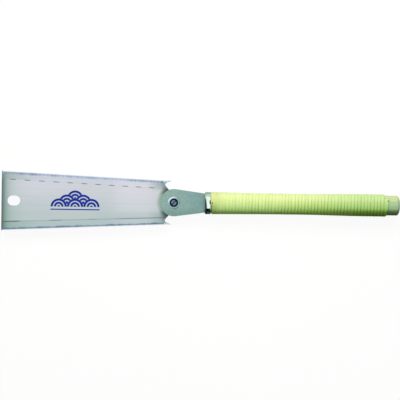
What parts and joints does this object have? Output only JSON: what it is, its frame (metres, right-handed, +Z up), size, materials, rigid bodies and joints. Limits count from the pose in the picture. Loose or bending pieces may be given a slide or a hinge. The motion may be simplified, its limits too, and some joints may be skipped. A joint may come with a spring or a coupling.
{
  "type": "ryoba saw",
  "caption": "Double-edged Japanese pull saw: thin tapered blade with rip and crosscut edges, screw-clamped holder, ferrule and rattan-wound oval handle.",
  "frame": {"origin": "under the middle of the saw's length, on the surface that its handle lies on", "axes": "+X along the saw towards the butt, +Y across the blade towards the rip teeth, +Z up from the blade's face on the screw head's side"},
  "size_m": [0.5842, 0.0874, 0.0275],
  "materials": {
    "blade_steel": "satin ground spring steel, blue-tempered tooth edges",
    "holder_steel": "matt grey-green plated steel",
    "screw_steel": "blackened steel, worn bright on top",
    "washer_steel": "bright zinc plate",
    "ferrule_chrome": "polished chrome",
    "handle_wood": "plain pale softwood, oiled",
    "rattan": "glossy natural rattan peel",
    "tack_steel": "dark blued steel"
  },
  "bodies": {
    "handle": {"holder_front_cheek": "holder_steel", "holder_back_cheek": "holder_steel", "holder_spacer": "holder_steel", "clamp_nut": "washer_steel", "ferrule": "ferrule_chrome", "handle_front_half": "handle_wood", "handle_back_half": "handle_wood", "tang_pins": "washer_steel", "rattan_wrap": "rattan", "wrap_tacks": "tack_steel"},
    "blade": {"blade": "blade_steel"},
    "washer": {"clamp_washer": "washer_steel"},
    "screw": {"clamp_screw": "screw_steel"}
  },
  "joints": [
    {"name": "blade_slide", "type": "slide", "parent": "handle", "child": "blade", "axis": [-1, 0, 0], "range_m": [0, 0.048]},
    {"name": "washer_lift", "type": "slide", "parent": "handle", "child": "washer", "axis": [0, 0, 1], "range_m": [0, 0.002]},
    {"name": "clamp_screw_turn", "type": "hinge", "parent": "washer", "child": "screw", "pos_m": [-0.0391, 0, 0.01367], "axis": [0, 0, 1], "range_deg": [0, 720]}
  ],
  "couplings": [
    {"joint": "clamp_screw_turn", "follows": "washer_lift", "rad_per_m": 6283.2}
  ]
}
